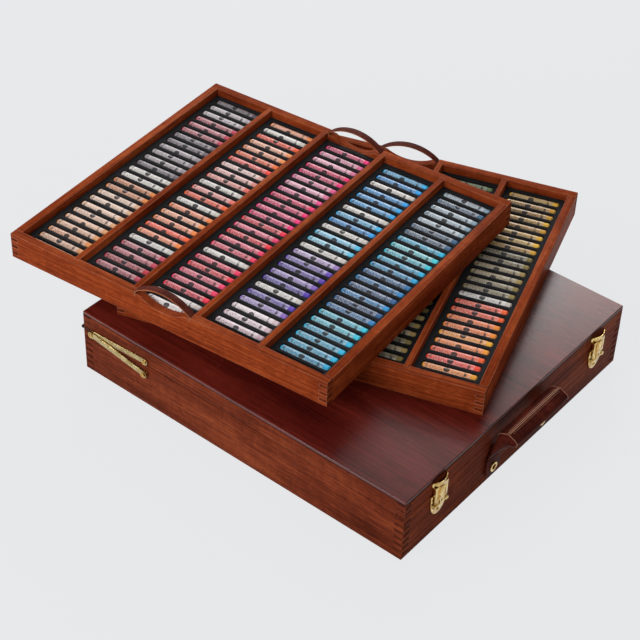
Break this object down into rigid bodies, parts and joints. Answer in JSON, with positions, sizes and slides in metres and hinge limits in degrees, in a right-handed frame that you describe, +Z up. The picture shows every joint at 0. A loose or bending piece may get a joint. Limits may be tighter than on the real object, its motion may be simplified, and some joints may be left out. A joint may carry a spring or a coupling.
{
  "type": "pastel case",
  "caption": "Hinged wooden case with a leather handle, two sprung latches and side stays; two lift-out trays of wrapped soft pastels in foam lie on its lid.",
  "frame": {"origin": "centre of the case's underside, on the surface that it stands on", "axes": "+Z up; -Y out of the front with the handle and latches; +X to the right of someone facing the front; the hinge runs along X at the back"},
  "size_m": [0.5644, 0.6549, 0.174],
  "materials": {
    "case_wood": "dark red-brown stain under satin lacquer",
    "lid_wood": "mahogany stain under glossy lacquer",
    "tray_wood": "orange-brown stain under satin lacquer",
    "dark_metal": "dark oxidised",
    "brass": "polished, lightly brushed",
    "handle_leather": "smooth, semi-gloss",
    "strap_leather": "matt with raw cut edges",
    "black_foam": "matt closed-cell foam",
    "pastel_paper": "paper wrapper round a chalk stick"
  },
  "bodies": {
    "case_base": {"base_front_board": "case_wood", "base_back_board": "case_wood", "base_left_board": "case_wood", "base_right_board": "case_wood", "base_bottom": "case_wood", "hinge_base_leaf": "dark_metal", "hinge_pin": "dark_metal", "latch_plates": "brass", "latch_pins": "brass", "stay_base_screws": "brass", "handle_tabs": "handle_leather", "handle_eyelets": "brass"},
    "lid": {"lid_front_board": "case_wood", "lid_back_board": "case_wood", "lid_left_board": "case_wood", "lid_right_board": "case_wood", "lid_top": "lid_wood", "hinge_lid_leaf": "dark_metal", "latch_keepers": "brass", "stay_lid_screws": "brass"},
    "latch_left": {"latch_left_hasp": "brass"},
    "latch_right": {"latch_right_hasp": "brass"},
    "stay_left_base": {"stay_left_base_arm": "brass", "stay_left_rivet": "brass"},
    "stay_right_base": {"stay_right_base_arm": "brass", "stay_right_rivet": "brass"},
    "stay_left_lid": {"stay_left_lid_arm": "brass"},
    "stay_right_lid": {"stay_right_lid_arm": "brass"},
    "handle": {"handle_cheeks": "handle_leather", "handle_grip": "handle_leather"},
    "tray_lower": {"lower_tray_front_board": "tray_wood", "lower_tray_back_board": "tray_wood", "lower_tray_left_board": "tray_wood", "lower_tray_right_board": "tray_wood", "lower_tray_bottom": "tray_wood", "lower_tray_dividers": "tray_wood", "lower_tray_foam": "black_foam", "lower_tray_straps": "strap_leather", "lower_tray_pastels_1": "pastel_paper", "lower_tray_pastels_2": "pastel_paper", "lower_tray_pastels_3": "pastel_paper", "lower_tray_pastels_4": "pastel_paper", "lower_tray_pastels_5": "pastel_paper"},
    "tray_upper": {"upper_tray_front_board": "tray_wood", "upper_tray_back_board": "tray_wood", "upper_tray_left_board": "tray_wood", "upper_tray_right_board": "tray_wood", "upper_tray_bottom": "tray_wood", "upper_tray_dividers": "tray_wood", "upper_tray_foam": "black_foam", "upper_tray_straps": "strap_leather", "upper_tray_pastels_1": "pastel_paper", "upper_tray_pastels_2": "pastel_paper", "upper_tray_pastels_3": "pastel_paper", "upper_tray_pastels_4": "pastel_paper", "upper_tray_pastels_5": "pastel_paper"}
  },
  "joints": [
    {"name": "lid_hinge", "type": "hinge", "parent": "case_base", "child": "lid", "pos_m": [0, 0.2429, 0.06265], "axis": [-1, 0, 0], "range_deg": [0, 100]},
    {"name": "tray_lower_lift", "type": "slide", "parent": "lid", "child": "tray_lower", "axis": [0, 0, 1], "range_m": [0, 0.15]},
    {"name": "tray_upper_lift", "type": "slide", "parent": "tray_lower", "child": "tray_upper", "axis": [0, 0, 1], "range_m": [0, 0.15]},
    {"name": "handle_swing", "type": "hinge", "parent": "case_base", "child": "handle", "pos_m": [0, -0.2425, 0.0383], "axis": [1, 0, 0], "range_deg": [0, 75]},
    {"name": "latch_left_swing", "type": "hinge", "parent": "case_base", "child": "latch_left", "pos_m": [-0.157, -0.2449, 0.046], "axis": [1, 0, 0], "range_deg": [0, 40], "stiffness_Nm_per_rad": 0.02},
    {"name": "latch_right_swing", "type": "hinge", "parent": "case_base", "child": "latch_right", "pos_m": [0.161, -0.2449, 0.046], "axis": [1, 0, 0], "range_deg": [0, 40], "stiffness_Nm_per_rad": 0.02},
    {"name": "stay_left_base_swing", "type": "hinge", "parent": "case_base", "child": "stay_left_base", "pos_m": [-0.222, 0.1391, 0.04985], "axis": [1, 0, 0], "range_deg": [0, 30]},
    {"name": "stay_left_lid_swing", "type": "hinge", "parent": "lid", "child": "stay_left_lid", "pos_m": [-0.2194, 0.1391, 0.06765], "axis": [-1, 0, 0], "range_deg": [0, 30]},
    {"name": "stay_right_base_swing", "type": "hinge", "parent": "case_base", "child": "stay_right_base", "pos_m": [0.222, 0.1391, 0.04985], "axis": [1, 0, 0], "range_deg": [0, 30]},
    {"name": "stay_right_lid_swing", "type": "hinge", "parent": "lid", "child": "stay_right_lid", "pos_m": [0.2194, 0.1391, 0.06765], "axis": [-1, 0, 0], "range_deg": [0, 30]}
  ],
  "couplings": [
    {"joint": "stay_left_base_swing", "follows": "lid_hinge", "ratio": 0.28},
    {"joint": "stay_left_lid_swing", "follows": "lid_hinge", "ratio": 0.2846},
    {"joint": "stay_right_base_swing", "follows": "lid_hinge", "ratio": 0.28},
    {"joint": "stay_right_lid_swing", "follows": "lid_hinge", "ratio": 0.2846}
  ]
}
